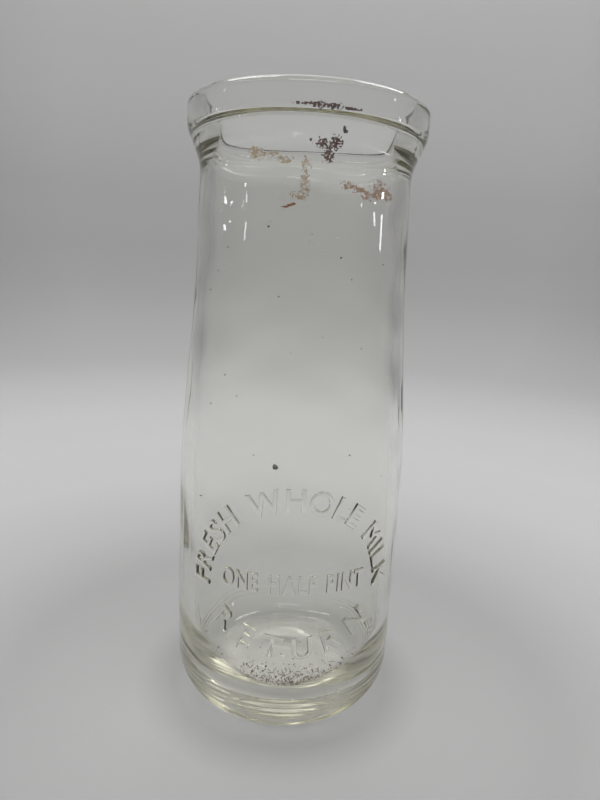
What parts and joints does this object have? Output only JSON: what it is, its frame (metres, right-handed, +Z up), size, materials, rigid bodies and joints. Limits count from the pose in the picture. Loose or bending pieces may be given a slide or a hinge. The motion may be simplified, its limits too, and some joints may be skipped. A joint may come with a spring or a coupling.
{
  "type": "glass milk bottle",
  "caption": "Wide-mouth half-pint glass milk bottle with a recessed seat for a card disc, gentle shoulder and thick base, standing empty with dried deposits inside",
  "frame": {"origin": "middle of the ring that the bottle stands on, at table height", "axes": "+Z up along the bottle's axis, -Y the embossed front, +X to the right of it"},
  "size_m": [0.061, 0.061, 0.159],
  "materials": {
    "glass": "fire-polished, clear with a faint green-grey tint",
    "rust": "rough dark red-brown flakes",
    "scum": "dried yellow-brown film",
    "sediment": "matt dark grit"
  },
  "bodies": {
    "root": {"bottle_glass": "glass", "ledge_rust_smear": "rust", "neck_rust_flake": "rust", "neck_rust_chip": "rust", "neck_orange_flake": "rust", "neck_scum_left": "scum", "neck_scum_trail": "scum", "neck_scum_right": "scum", "base_sediment": "sediment"}
  },
  "joints": []
}
